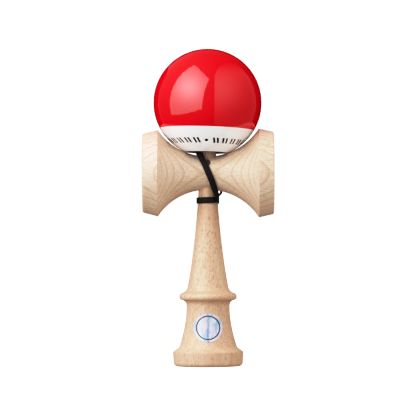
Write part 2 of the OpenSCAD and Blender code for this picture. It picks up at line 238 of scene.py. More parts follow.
def collarFillet(inner, edge, bends):
    rises = handleSet["filletRises"]
    return bendLine(
        inner,
        (mixed(inner[0], edge[0], bends[0]), mixed(inner[1], edge[1], rises[0])),
        (mixed(inner[0], edge[0], bends[1]), mixed(inner[1], edge[1], rises[1])),
        edge,
    )


def coveLine(rim, flare):
    # leaves the rim along its last step and meets the foot of the flare along its first
    top, foot = Vector(rim[-1]), Vector(flare[0])
    leave = (top - Vector(rim[-2])).normalized() * (top.x - foot.x) * handleSet["coveBends"][0]
    arrive = (Vector(flare[1]) - foot).normalized() * (foot.y - top.y) * handleSet["coveBends"][1]
    return bendLine(top, top + leave, foot - arrive, foot, steps=12)


def handleOutline():
    h = handleSet
    lipR = h["baseLow"] / 2 - h["lowRound"] - h["lipWidth"]
    cupR = (lipR ** 2 + h["cupDepth"] ** 2) / (2 * h["cupDepth"])
    cupEnd = math.degrees(math.asin((cupR - h["cupDepth"] + h["lipBevel"]) / cupR))
    cup = arcLine((0, h["cupDepth"] - cupR), cupR, 90, cupEnd, steps=24)
    lip = [(lipR, h["lipBevel"]), (lipR + h["lipBevel"], 0)]
    lowRound = arcLine((h["baseLow"] / 2 - h["lowRound"], h["lowRound"]), h["lowRound"], -90, 0)
    rimTop = (h["baseWide"] / 2 - h["rimRound"], h["rimHeight"] - h["rimRound"])
    rim = arcLine(rimTop, h["rimRound"], 0, h["rimTurn"])
    flare = bowLine(h["flareLow"], h["neck"], h["flareBends"])
    low, high = h["collarLow"], h["collarHigh"]
    collarLow = (h["collarReach"] - low["round"], h["collarHeight"] - h["collarHalf"])
    collarHigh = (h["collarReach"] - high["round"], h["collarHeight"] + h["collarHalf"])
    nose = bendLine(
        collarLow,
        (collarLow[0] + low["round"] / h["bendReach"], collarLow[1] + low["dip"]),
        (collarHigh[0] + high["round"] / h["bendReach"], collarHigh[1] - high["dip"]),
        collarHigh,
        steps=20,
    )
    tip = arcLine((0, h["tipHeight"] - h["tipRound"]), h["tipRound"], 0, 90, steps=12)
    return joinLines(
        cup, lip, lowRound, straightLine(lowRound[-1], rim[0], steps=6), rim, coveLine(rim, flare), flare,
        collarFillet(h["neck"], collarLow, h["underBends"]), nose,
        collarFillet(h["shaftLow"], collarHigh, h["overBends"])[::-1],
        bowLine(h["shaftLow"], h["seatLow"], h["shaftBends"]),
        straightLine(h["seatLow"], h["seatHigh"], steps=10),
        bowLine(h["seatHigh"], (h["tipRound"], h["tipHeight"] - h["tipRound"]), h["spikeBends"]),
        tip,
    )


turnedHandle = turnPiece("turnedHandle", handleOutline(), Matrix.Identity(4))
smoothPiece(turnedHandle, degrees=32)
finishPiece(turnedHandle, "handle", "handle_wood", "handle")
print("handle turned")


# Cross cup: turned about X, then bored for the handle's taper and the cord

cupSet = {
    "axisHeight": 107.18, "waist": 9.3,
    "big": {"rimReach": 36.8, "rimRadius": 23.1, "ridgeReach": 28.4, "ridgeRadius": 24.75, "depth": 9.0},
    "small": {"rimReach": 36.3, "rimRadius": 22.1, "ridgeReach": 27.7, "ridgeRadius": 24.05, "depth": 8.5},
    "lipWidth": 0.9, "rimRound": 1.2, "ridgeRound": 0.4,
    "boreLow": 5.18, "boreHigh": 4.78, "boreRun": 2.0,
    "cordHole": 2.8, "cordHoleUp": 5.7,
}


def cupHalf(end):
    # from the waist to the middle of one dish, as (radius, reach)
    lipR = end["rimRadius"] - cupSet["rimRound"] - cupSet["lipWidth"]
    dishR = (lipR ** 2 + end["depth"] ** 2) / (2 * end["depth"])
    rise = end["ridgeRadius"] - cupSet["waist"]
    saddleR = (end["ridgeReach"] ** 2 + rise ** 2) / (2 * rise)
    sweep = math.degrees(math.asin(end["ridgeReach"] / saddleR))
    saddle = arcLine((cupSet["waist"] + saddleR, 0), saddleR, 180, 180 - sweep, steps=56)
    rimStart = (end["rimRadius"], end["rimReach"] - cupSet["rimRound"])
    ridge = (end["ridgeRadius"], end["ridgeReach"])
    keep = [p for p in saddle if math.dist(p, ridge) > cupSet["ridgeRound"]]
    share = cupSet["ridgeRound"] / math.dist(ridge, rimStart)
    bandStart = (mixed(ridge[0], rimStart[0], share), mixed(ridge[1], rimStart[1], share))
    rim = arcLine((rimStart[0] - cupSet["rimRound"], rimStart[1]), cupSet["rimRound"], 0, 90)
    dishEnd = math.degrees(math.asin((dishR - end["depth"]) / dishR))
    dish = arcLine((0, end["rimReach"] - end["depth"] + dishR), dishR, -dishEnd, -90, steps=30)
    return joinLines(
        keep, bendLine(keep[-1], ridge, ridge, bandStart, steps=8),
        straightLine(bandStart, rimStart, steps=10), rim, dish,
    )


def makeCrossCup():
    smallHalf = [(r, -x) for r, x in cupHalf(cupSet["small"])]
    outline = joinLines(smallHalf[::-1], cupHalf(cupSet["big"]))
    axisUp = cupSet["axisHeight"] * mm
    place = Matrix(((0, 0, 1, 0), (0, -1, 0, 0), (1, 0, 0, axisUp), (0, 0, 0, 1)))
    cup = turnPiece("crossCup", outline, place, steps=160)
    slope = (cupSet["boreLow"] - cupSet["boreHigh"]) / (2 * cupSet["waist"]) * cupSet["boreRun"]
    deselectAll()
    bpy.ops.mesh.primitive_cone_add(
        vertices=96, location=(0, 0, axisUp),
        radius1=(cupSet["boreLow"] + slope) * mm, radius2=(cupSet["boreHigh"] - slope) * mm,
        depth=2 * (cupSet["waist"] + cupSet["boreRun"]) * mm)
    cutAway(cup, bpy.context.object)
    deselectAll()
    bpy.ops.mesh.primitive_cylinder_add(
        vertices=48, radius=cupSet["cordHole"] / 2 * mm, depth=3 * cupSet["waist"] * mm,
        location=(0, 0, axisUp + cupSet["cordHoleUp"] * mm), rotation=(math.pi / 2, 0, 0))
    cutAway(cup, bpy.context.object)
    smoothPiece(cup, degrees=24)
    return cup


crossCup = makeCrossCup()
finishPiece(crossCup, "cross_cup", "cup_wood", "cross_cup")
print("cross cup turned and bored")


# Ball: two coats of lacquer over the wooden core, which is the frame's own piece

ballSet = {
    "radius": 30.0, "coat": 0.21, "height": 146.16, "leanBack": 2.8, "leanSide": 1.7, "bandDrop": 14.7,
    "mouth": 11.75, "topHole": 1.75, "topBevel": 0.8, "edgeRound": 0.12, "turns": 192,
}
ballPlace = (
    Matrix.Translation((0, 0, ballSet["height"] * mm))
    @ Matrix.Rotation(math.radians(ballSet["leanSide"]), 4, "Y")
    @ Matrix.Rotation(math.radians(-ballSet["leanBack"]), 4, "X")
)


def ballArc(radius, high, low, steps):
    start, stop = (math.degrees(math.asin(height / radius)) for height in (high, low))
    return arcLine((0, 0), radius, start, stop, steps)


def makeCoats():
    outer, edge = ballSet["radius"], ballSet["edgeRound"]
    inner = outer - ballSet["coat"]
    seam = -ballSet["bandDrop"]
    seamEdge = (otherLeg(outer, seam) - edge, seam)
    bevelR = ballSet["topHole"] + ballSet["topBevel"]
    redOut = ballArc(outer, otherLeg(outer, bevelR), seam + edge, steps=96)
    redIn = ballArc(inner, otherLeg(inner, bevelR - ballSet["coat"]), seam, steps=72)
    mouthR = ballSet["mouth"]
    whiteOut = ballArc(outer, seam - edge, -otherLeg(outer, mouthR), steps=60)
    whiteIn = ballArc(inner, seam, -otherLeg(inner, mouthR - ballSet["coat"]), steps=48)
    outlines = {
        "redLacquer": joinLines(redOut, [seamEdge], redIn[::-1]),
        "whiteLacquer": joinLines([seamEdge], whiteOut, whiteIn[::-1]),
    }
    return [
        turnPiece(name, outline, ballPlace, ballSet["turns"], closed=True)
        for name, outline in outlines.items()
    ]


redLacquer, whiteLacquer = makeCoats()
coats = ((redLacquer, "red_lacquer", "red_coat"), (whiteLacquer, "white_lacquer", "white_band"))
for coat, slotName, node in coats:
    smoothPiece(coat, degrees=30)
    finishPiece(coat, "ball", slotName, node)
print("ball coated")


# Label: a disc of film laid on the flare of the base

labelSet = {"diameter": 16.0, "height": 21.7, "thickness": 0.2, "lift": 0.02, "rings": 7, "startFront": 30}


def makeLabel():
    radius = labelSet["diameter"] / 2 * mm
    deselectAll()
    bpy.ops.mesh.primitive_circle_add(
        vertices=96, radius=radius, fill_type="NGON",
        location=(0, -labelSet["startFront"] * mm, labelSet["height"] * mm), rotation=(math.pi / 2, 0, 0))
    label = bpy.context.object
    label.name = "baseLabel"
    applyPlace(label)
    editPiece(label)
    for ring in range(labelSet["rings"]):
        bpy.ops.mesh.inset(thickness=radius / (labelSet["rings"] + 1))
    bpy.ops.mesh.poke()
    bpy.ops.object.mode_set(mode="OBJECT")
    wrap = label.modifiers.new("lay", "SHRINKWRAP")
    wrap.target = turnedHandle
    wrap.wrap_method = "PROJECT"
    wrap.use_project_y = True
    wrap.use_positive_direction = True
    wrap.use_negative_direction = True
    wrap.offset = labelSet["lift"] * mm
    film = label.modifiers.new("film", "SOLIDIFY")
    film.thickness = labelSet["thickness"] * mm
    film.offset = 1
    applyModifiers(label)
    turnOutwards(label)
    smoothPiece(label, degrees=40)
    return label


baseLabel = makeLabel()
finishPiece(baseLabel, "handle", "label_film", "base_label")
print("label laid on")


# Cord: one flat braid from the cross cup's back hole to the knot behind the bead in the ball

cordSet = {
    "width": 3.4, "thick": 0.5, "drawn": 1.9, "drawnStops": 3, "thinEnd": 1.2,
    "sides": 20, "ringStep": 0.45,
    # how square the braid is across and through, and from what thickness it gets rounder
    "flatRound": 0.42, "deepRound": 0.7, "flatShare": 0.25,
    "braidPitch": 1.7, "braidRise": 0.05, "braidSlant": 1.1, "braidFade": 1.5,
    "wrap": {"radius": 6.05, "height": 92.2, "rise": 0.04, "from": -50, "to": -338, "steps": 20},
    "coil": {"from": 285, "to": 1945, "radius": 9.75, "base": -15.0, "pitch": 4.2, "stepsPerTurn": 24},
    "beadUp": 14.15, "beadRadius": 3.75, "seatGap": 0.3,
    # each point with the way that the flat of the cord faces, in millimetres
    "end": [
        ((0, 5.4, 112.7), (0, 0, 1)), ((0, 7.2, 112.7), (0, 0.1, 1)), ((0, 8.8, 112.5), (0, 0.5, 1)),
        ((0.3, 10, 111.4), (0, 1, 0.6)), ((1.2, 10.5, 108.9), (0, 1, 0.2)),
        ((2.6, 10.4, 106.1), (0, 1, -0.1)), ((4.2, 9.8, 103.1), (0.1, 1, -0.4)),
        ((5.8, 8.5, 100.1), (0.3, 1, -0.6)), ((7, 6.3, 97.9), (0.7, 0.8, -0.4)),
        ((7.5, 3.8, 96.6), (1, 0.4, -0.1)), ((7, 1.4, 95.7), (1, 0.1, 0)), ((6.15, -1, 94.9), (1, -0.2, 0)),
        ((5.3, -3.2, 94.1), (1, -0.6, 0)),
    ],
    "hitch": [
        ((6.05, 0.8, 92.2), (1, 0, 0)), ((6.1, -1.2, 91.8), (1, -0.2, 0)),
        ((5.95, -3.1, 91.9), (1, -0.5, 0)), ((5.5, -4.9, 93.2), (1, -0.8, 0)),
    ],
    "front": [
        ((4.9, -6.2, 95.4), (0.9, -1, 0)), ((4, -7.3, 97.8), (0.4, -1, 0)),
        ((3.1, -8.3, 100.1), (0.1, -1, -0.2)), ((2.5, -9.2, 102.2), (0, -1, -0.4)),
        ((1.6, -9.8, 104.5), (0, -1, -0.2)), ((0.6, -10, 106.9), (0, -1, 0)),
        ((-0.4, -9.8, 109.3), (0, -1, 0.2)), ((-1.5, -9.1, 111.9), (0, -1, 0.4)),
        ((-2.8, -8.1, 114.5), (0, -1, 0.4)), ((-4.2, -7.1, 117.1), (0, -1, 0.3)),
        ((-5.2, -6.2, 119.7), (-0.3, -1, 0.1)),
    ],
    # in the ball: angle, radius, height, and the way that the flat faces, outwards and upwards
    "entry": [
        (221, 5.6, -22, 1, 0), (222, 5.7, -20.2, 1, 0), (227, 6.4, -18.6, 1, 0), (236, 7.5, -17.4, 1, 0),
        (249, 8.6, -16.5, 1, 0), (266, 9.4, -15.7, 1, 0),
    ],
    # past the last turn: angle, share of the coil's radius, share of the rise to the bead,
    # and the way that the flat faces
    "riser": [
        (9, 1, 0.08, 1, 0), (18, 1, 0.24, 1, 0), (26, 0.99, 0.45, 1, 0), (32, 0.96, 0.68, 1, 0.2),
        (35, 0.9, 0.86, 1, 0.7), (35, 0.8, 0.97, 0.5, 1), (35, 0.68, 1, 0, 1), (35, 0.54, 1, 0, 1),
    ],
}
beadAngle = cordSet["coil"]["to"] + cordSet["riser"][-1][0]


def ballPoint(angle, radius, height, outward, upward):
    # a point in the ball and the way that the flat of the cord faces there
    ray = rayAt(angle)
    point = ballPlace @ ((ray * radius + Vector((0, 0, height))) * mm)
    facing = ballPlace.to_3x3() @ (ray * outward + Vector((0, 0, upward)))
    return point, facing


def cordRoute():
    # every stop is a point, a facing, a width and a thickness, in metres
    flat = (cordSet["width"] * mm, cordSet["thick"] * mm)
    drawn = (cordSet["drawn"] * mm,) * 2
    thin = (cordSet["thinEnd"] * mm,) * 2
    stops = [(Vector(p) * mm, Vector(f), *thin) for p, f in cordSet["end"]]
    wrap = cordSet["wrap"]
    for i in range(wrap["steps"] + 1):
        ray = rayAt(mixed(wrap["from"], wrap["to"], i / wrap["steps"]))
        spot = ray * wrap["radius"]
        spot.z = wrap["height"] + spot.x * wrap["rise"]
        stops.append((spot * mm, ray, *flat))
    stops += [(Vector(p) * mm, Vector(f), *flat) for p, f in cordSet["hitch"] + cordSet["front"]]
    stops += [(*ballPoint(*entry), *flat) for entry in cordSet["entry"]]
    coil = cordSet["coil"]
    turns = (coil["to"] - coil["from"]) / 360
    steps = round(coil["stepsPerTurn"] * turns)
    top = coil["base"] + coil["pitch"] * turns
    for i in range(steps + 1):
        share = i / steps
        angle = mixed(coil["from"], coil["to"], share)
        stops.append((*ballPoint(angle, coil["radius"], mixed(coil["base"], top, share), 1, 0), *flat))
    drawnFrom = len(cordSet["riser"]) - cordSet["drawnStops"] - 1
    for k, (turn, radiusShare, riseShare, outward, upward) in enumerate(cordSet["riser"]):
        share = clamped((k - drawnFrom) / cordSet["drawnStops"])
        height = mixed(top, cordSet["beadUp"], riseShare)
        stops.append((
            *ballPoint(coil["to"] + turn, coil["radius"] * radiusShare, height, outward, upward),
            mixed(flat[0], drawn[0], share), mixed(flat[1], drawn[1], share)))
    for radius in (cordSet["beadRadius"], 0, -cordSet["beadRadius"] - cordSet["seatGap"]):
        stops.append((*ballPoint(beadAngle, radius, cordSet["beadUp"], 0, 1), *drawn))
    return stops


def smoothStops(stops):
    # a curve through all the stops, cut into even short steps
    fine = []
    for i in range(len(stops) - 1):
        a, b, c, d = (stops[min(max(k, 0), len(stops) - 1)] for k in (i - 1, i, i + 1, i + 2))
        count = max(2, round((c[0] - b[0]).length / (cordSet["ringStep"] * mm)))
        for j in range(count):
            t = j / count
            point = 0.5 * (2 * b[0] + (c[0] - a[0]) * t + (2 * a[0] - 5 * b[0] + 4 * c[0] - d[0]) * t * t
                           + (3 * b[0] - a[0] - 3 * c[0] + d[0]) * t ** 3)
            facing = b[1].normalized().lerp(c[1].normalized(), t)
            fine.append((point, facing, mixed(b[2], c[2], t), mixed(b[3], c[3], t)))
    fine.append(stops[-1])
    return fine


def tubeFaces(rings, sides, closed=False):
    faces = []
    for i in range(rings if closed else rings - 1):
        for k in range(sides):
            j, n = (i + 1) % rings, (k + 1) % sides
            faces.append((i * sides + k, i * sides + n, j * sides + n, j * sides + k))
    return faces


def makeCord():
    stops = smoothStops(cordRoute())
    points = [s[0] for s in stops]
    sides = cordSet["sides"]
    corners, uvs, run, runs = [], [], 0.0, []
    for i, (point, facing, width, thick) in enumerate(stops):
        along = (points[min(i + 1, len(points) - 1)] - points[max(i - 1, 0)]).normalized()
        side = along.cross(facing).normalized()
        out = side.cross(along)
        if i:
            run += (point - points[i - 1]).length
        runs.append(run)
        fullness = clamped((thick / width - cordSet["flatShare"]) / (1 - cordSet["flatShare"]))
        roundness = mixed(cordSet["flatRound"], 1.0, fullness)
        for k in range(sides):
            a = 2 * math.pi * k / sides
            c, s = math.cos(a), math.sin(a)
            across = math.copysign(abs(c) ** roundness, c)
            deep = math.copysign(abs(s) ** mixed(cordSet["deepRound"], 1.0, roundness), s)
            phase = run / mm / cordSet["braidPitch"] + abs(across) * cordSet["braidSlant"]
            plait = math.sin(2 * math.pi * phase)
            rise = cordSet["braidRise"] * mm * plait * min(1, abs(deep) * cordSet["braidFade"])
            corners.append(point + side * across * (width / 2 + rise) + out * deep * (thick / 2 + rise))
    for i in range(len(stops) - 1):
        for k in range(sides):
            spans = ((runs[i], k), (runs[i], k + 1), (runs[i + 1], k + 1), (runs[i + 1], k))
            uvs += [(length / (cordSet["width"] * mm), step / sides) for length, step in spans]
    last = (len(stops) - 1) * sides
    ends = [tuple(range(sides))[::-1], tuple(range(last, last + sides))]
    uvs += [(0, 0)] * (2 * sides)
    cord = meshPiece("flatCord", corners, tubeFaces(len(stops), sides) + ends)
    layer = cord.data.uv_layers.new(name="alongCord")
    for loop, uv in zip(layer.data, uvs):
        loop.uv = uv
    turnOutwards(cord)
    smoothPiece(cord, degrees=50)
    return cord, points, run


flatCord, cordPoints, cordLength = makeCord()
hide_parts("cord_tie", "cord_lead", "cord_coil")
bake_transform(flatCord)
print("cord laid, length", round(cordLength, 4))


# Knot: the cord's end tied over itself behind the bead

knotSet = {
    "reach": 1.05, "bulge": 0.45, "depth": 0.95, "cord": 1.35, "turns": 2, "lobes": 3,
    "steps": 90, "sides": 10, "aheadStep": 0.01,
}


def makeKnot():
    ray = rayAt(beadAngle)
    low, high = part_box("end_knot")
    centre = (low + high) / 2
    turn = ballPlace.to_3x3()
    axis, sideways, upward = turn @ ray, turn @ Vector((-ray.y, ray.x, 0)), turn @ Vector((0, 0, 1))
    steps, sides, ahead = knotSet["steps"], knotSet["sides"], knotSet["aheadStep"]

    def knotPoint(t):
        ring = knotSet["reach"] + knotSet["bulge"] * math.cos(knotSet["lobes"] * t)
        spot = (sideways * math.cos(knotSet["turns"] * t) + upward * math.sin(knotSet["turns"] * t)) * ring
        return centre + (spot + axis * knotSet["depth"] * math.sin(knotSet["lobes"] * t)) * mm

    corners = []
    for i in range(steps):
        t = 2 * math.pi * i / steps
        point = knotPoint(t)
        along = (knotPoint(t + ahead) - knotPoint(t - ahead)).normalized()
        side = along.cross(point - centre).normalized()
        out = side.cross(along)
        for k in range(sides):
            a = 2 * math.pi * k / sides
            corners.append(point + (side * math.cos(a) + out * math.sin(a)) * knotSet["cord"] / 2 * mm)
    knot = meshPiece("stopKnot", corners, tubeFaces(steps, sides, closed=True))
    turnOutwards(knot)
    smoothPiece(knot, degrees=60)
    return knot


stopKnot = makeKnot()
finishPiece(stopKnot, "string_end", "cord_braid", "end_knot")
print("knot tied")


# Finishes: a wrapped socket whose operators add Math nodes

class Wire:
    def __init__(self, tree, socket=None):
        self.tree, self.socket = tree, socket

    def node(self, kind, settings=None, links=None, out=0):
        made = self.tree.nodes.new("ShaderNode" + kind)
        for key, value in (settings or {}).items():
            setattr(made, key, value)
        for key, value in (links or {}).items():
            if isinstance(value, Wire):
                self.tree.links.new(value.socket, made.inputs[key])
            else:
                made.inputs[key].default_value = value
        return Wire(self.tree, made.outputs[out])

    def math(self, operation, *values):
        return self.node("Math", {"operation": operation}, dict(enumerate(values)))

    def __add__(self, other):
        return self.math("ADD", self, other)

    def __sub__(self, other):
        return self.math("SUBTRACT", self, other)

    def __rsub__(self, other):
        return self.math("SUBTRACT", other, self)

    def __mul__(self, other):
        return self.math("MULTIPLY", self, other)

    def __truediv__(self, other):
        return self.math("DIVIDE", self, other)

    def __lt__(self, other):
        return self.math("LESS_THAN", self, other)

    def __gt__(self, other):
        return self.math("GREATER_THAN", self, other)

    __radd__ = __add__
    __rmul__ = __mul__

    def bent(self, operation):
        return self.math(operation, self)

    def step(self, low, high):
        # 0 below low, 1 above high, smooth between
        return self.node("MapRange", {"interpolation_type": "SMOOTHSTEP"},
                         {"Value": self, "From Min": low, "From Max": high})

    def noise(self, point, scale=1.0, detail=2.0, rough=0.5):
        return self.node("TexNoise", None, {
            "Vector": point, "Scale": scale, "Detail": detail, "Roughness": rough})

    def point(self, x, y, z):
        return self.node("CombineXYZ", None, {0: x, 1: y, 2: z})

    def mixColour(self, share, first, second):
        return self.node("Mix", {"data_type": "RGBA"}, {0: share, 6: first, 7: second}, 2)

    def bump(self, height, strength, distance):
        return self.node("Bump", None, {"Height": height, "Strength": strength, "Distance": distance})


def linear(red, green, blue):
    # a colour as a screen shows it, out of 255, as the light that it stands for
    values = [v / 255 for v in (red, green, blue)]
    return tuple(v / 12.92 if v <= 0.04045 else ((v + 0.055) / 1.055) ** 2.4 for v in values) + (1.0,)


def newFinish(name, specular=None):
    material = bpy.data.materials.new(name)
    material.use_nodes = True
    tree = material.node_tree
    shader = tree.nodes["Principled BSDF"]
    if specular is not None:
        shader.inputs["Specular IOR Level"].default_value = specular
    return material, Wire(tree), shader


def linkFinish(tree, shader, **links):
    names = {"colour": "Base Color", "roughness": "Roughness", "normal": "Normal"}
    for key, value in links.items():
        tree.links.new(value.socket, shader.inputs[names[key]])


def setFinish(piece, material):
    piece.data.materials.clear()
    piece.data.materials.append(material)


def placeInMm(wire, place=None):
    # object coordinates in millimetres, as three values, in the piece's own place where one is given
    spot = wire.node("TexCoord", out="Object")
    if place is not None:
        back = place.inverted()
        spot = wire.node("Mapping", {"vector_type": "POINT"}, {
            "Vector": spot, "Location": back.translation, "Rotation": back.to_euler("XYZ")})
    spot = wire.node("VectorMath", {"operation": "SCALE"}, {"Vector": spot, "Scale": 1 / mm})
    return [wire.node("SeparateXYZ", None, {0: spot}, k) for k in range(3)]


# Wood: beech with growth layers, streaks, fibres and flecks, and painted shade in the cord hole and the
# ball's bore
# sizes are in steps of the noise to a millimetre, across the grain and along it

beechSet = {
    "swaySize": (0.03, 0.011), "unevenSize": 0.21, "lineFull": 0.92, "lineEnd": 0.95,
    "streakAlong": 0.1, "streakStep": (0.35, 0.75), "fibreSize": (7.0, 0.35), "strandRough": 0.6,
    "broadSize": (0.09, 0.025), "broadStep": (0.3, 0.7), "fleckCore": 0.45,
    "roughness": 0.5, "streakRough": 0.16, "fleckRough": 0.1, "specular": 0.4,
    "streakHigh": 0.5, "fibreHigh": 0.4, "fleckDeep": 0.5, "bumpReach": 0.06,
}
handleLook = {
    "grain": "z", "seed": 3.1, "bow": 0.006, "sway": 5.0, "uneven": 4.0, "layer": 4.2, "lineFrom": 0.4,
    "pale": linear(233, 207, 183), "warm": linear(230, 199, 173), "deep": linear(217, 178, 146),
    "line": linear(208, 165, 131), "fleck": linear(168, 112, 78),
    "streakAcross": 1.7, "streakShare": 0.6, "layerShare": 0.2, "fleckAcross": 1.8, "fleckAlong": 0.34,
    "fleckSize": 0.42, "fleckShare": 0.72, "fleckDepth": 0.5, "bump": 0.25,
}
cupLook = {
    "place": Matrix.Translation((0, 0, cupSet["axisHeight"] * mm)),
    "grain": "x", "seed": 7.7, "bow": 0.002, "sway": 1.6, "uneven": 2.4, "layer": 2.9, "lineFrom": 0.7,
    "pale": linear(243, 225, 207), "warm": linear(239, 219, 199), "deep": linear(225, 193, 163),
    "line": linear(198, 154, 120), "fleck": linear(172, 126, 94),
    # hole: painted shade, a near-black disc of colour on the cord hole's wall and edge where the hole lies
    # in shadow
    "hole": {"up": cupSet["cordHoleUp"], "reach": 1.55, "dark": linear(26, 20, 16)},
    "streakAcross": 1.4, "streakShare": 0.8, "layerShare": 0.38, "fleckAcross": 1.9, "fleckAlong": 0.3,
    "fleckSize": 0.4, "fleckShare": 0.6, "fleckDepth": 0.32, "bump": 0.22,
}
# the ball's core shows only in its bore and mouth; its pale beech is painted dark brown there, as painted
# shade inside the bore
coreShadedLook = dict(
    cupLook, place=ballPlace, grain="z", seed=1.3, hole=None,
    pale=linear(112, 80, 56), warm=linear(96, 67, 47), deep=linear(76, 52, 36))
beadLook = dict(handleLook, seed=5.9, pale=linear(205, 165, 120), warm=linear(192, 148, 102))


def beechFinish(name, look):
    b = beechSet
    material, w, shader = newFinish(name, b["specular"])
    x, y, z = placeInMm(w, look.get("place"))
    along, side, depth = {"x": (x, z, y), "z": (z, x, y)}[look["grain"]]

    def grainPoint(across, length):
        return w.point(side * across, depth * across, along * length)

    slow = w.noise(grainPoint(*b["swaySize"])) - 0.5
    uneven = w.noise(w.point(depth * b["unevenSize"] + look["seed"], 0.0, 0.0), detail=1.0) - 0.5
    bowed = depth + side * side * look["bow"]
    share = ((bowed + slow * look["sway"] + uneven * look["uneven"]) / look["layer"]).bent("FRACT")
    late = share.step(look["lineFrom"], b["lineFull"]) * (1 - share.step(b["lineEnd"], 1.0))
    streakPoint = grainPoint(look["streakAcross"], b["streakAlong"])
    streak = w.noise(streakPoint, detail=4.0, rough=b["strandRough"])
    fibre = w.noise(grainPoint(*b["fibreSize"]), detail=3.0, rough=b["strandRough"])
    broad = w.noise(grainPoint(*b["broadSize"]))
    fleckPoint = grainPoint(look["fleckAcross"], look["fleckAlong"])
    cells = w.node("TexVoronoi", None, {"Vector": fleckPoint, "Scale": 1.0, "Randomness": 1.0})
    lot = w.node("SeparateColor", None, {0: Wire(w.tree, cells.socket.node.outputs["Color"])})
    inFleck = 1 - cells.step(look["fleckSize"] * b["fleckCore"], look["fleckSize"])
    fleck = inFleck * (lot < look["fleckShare"])
    colour = w.mixColour(broad.step(*b["broadStep"]), look["pale"], look["warm"])
    colour = w.mixColour(streak.step(*b["streakStep"]) * look["streakShare"], colour, look["deep"])
    colour = w.mixColour(late * look["layerShare"], colour, look["line"])
    colour = w.mixColour(fleck * look["fleckDepth"], colour, look["fleck"])
    # painted shade: the wood in and around the cord hole is coloured near black
    hole = look.get("hole")
    if hole:
        up = z - hole["up"]
        colour = w.mixColour((x * x + up * up) < hole["reach"] ** 2, colour, hole["dark"])
    height = streak * b["streakHigh"] + fibre * b["fibreHigh"] - fleck * b["fleckDeep"]
    linkFinish(
        w.tree, shader, colour=colour,
        roughness=b["roughness"] + (streak - 0.5) * b["streakRough"] + fleck * b["fleckRough"],
        normal=w.bump(height, look["bump"], b["bumpReach"] * mm))
    return material


setFinish(turnedHandle, beechFinish("handleBeech", handleLook))
setFinish(crossCup, beechFinish("cupBeech", cupLook))
for node, look in (("ball_core", coreShadedLook), ("bead", beadLook)):
    setFinish(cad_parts[node], beechFinish(node + "Beech", look))
print("wood finished")


# Lacquer: a deep gloss with a trace of orange peel

lacquerSet = {
    "red": linear(245, 2, 36), "redDeep": linear(238, 1, 33),
    "white": linear(250, 250, 251), "whiteWarm": linear(245, 246, 248), "ink": linear(22, 20, 20),
    "toneSize": 0.08, "toneStep": (0.3, 0.7), "roughness": 0.05, "toneRough": 0.02, "specular": 1.0,
    "peelSize": 0.35, "peel": 0.04, "peelReach": 0.05,
}
# a ring of paired slanted strokes, with a dot in place of every sixth pair
printSet = {
    "rows": 24, "dotEvery": 6, "height": -22.0, "stroke": 1.1, "spread": 1.05, "half": 1.95, "slant": 0.25,
    "dotRadius": 0.95,
}


def ringMark(w, x, y, z, ring):
    reach = otherLeg(ballSet["radius"], ring["height"])
    angle = w.math("ARCTAN2", y, x)
    # a quarter turn and half a row put the middle of one mark at the front
    turn = (angle / (2 * math.pi) + 0.25 + 0.5 / ring["rows"]) * ring["rows"]
    across = (turn.bent("FRACT") - 0.5) * (2 * math.pi * reach / ring["rows"])
    up = (z - ring["height"]) * (ballSet["radius"] / reach)
    isDot = w.math("MODULO", turn.bent("FLOOR"), ring["dotEvery"]).bent("ABSOLUTE") < 0.5
    offStroke = ((across + up * ring["slant"]).bent("ABSOLUTE") - ring["spread"]).bent("ABSOLUTE")
    stroke = (offStroke < ring["stroke"] / 2) * (up.bent("ABSOLUTE") < ring["half"])
    dot = (across * across + up * up) < ring["dotRadius"] ** 2
    return dot * isDot + stroke * (1 - isDot)


def lacquerFinish(name, first, second, ring=None):
    s = lacquerSet
    material, w, shader = newFinish(name, s["specular"])
    x, y, z = placeInMm(w, ballPlace)
    spot = w.point(x, y, z)
    tone = w.noise(spot, s["toneSize"]).step(*s["toneStep"])
    colour = w.mixColour(tone, s[first], s[second])
    if ring:
        colour = w.mixColour(ringMark(w, x, y, z, ring), colour, s["ink"])
    peel = w.noise(spot, s["peelSize"], detail=1.0)
    linkFinish(
        w.tree, shader, colour=colour, roughness=s["roughness"] + tone * s["toneRough"],
        normal=w.bump(peel, s["peel"], s["peelReach"] * mm))
    return material


setFinish(redLacquer, lacquerFinish("redGloss", "red", "redDeep"))
setFinish(whiteLacquer, lacquerFinish("whiteGloss", "white", "whiteWarm", printSet))
print("lacquer finished")


# Label film: pearly, with soft bands of blue and pink

filmSet = {
    "pearl": linear(224, 228, 236), "blue": linear(176, 202, 230), "pink": linear(230, 208, 228),
    "blueSize": (0.35, 0.18), "blueStep": (0.45, 0.65),
    "pinkSize": (0.3, 0.15), "pinkSeed": 9.0, "pinkStep": (0.5, 0.68),
    "glareHigh": linear(96, 168, 190), "glareLow": linear(112, 112, 196), "glareRise": 4.0,
    "glareWidth": (0.25, 1.0), "glareShare": 0.6, "wanderSize": 0.45, "wanderSeed": 4.0, "wander": 2.0,
    "rim": linear(44, 48, 60), "rimIn": 6.1, "rimOut": 6.7, "roughness": 0.4, "waveRough": 0.15,
}


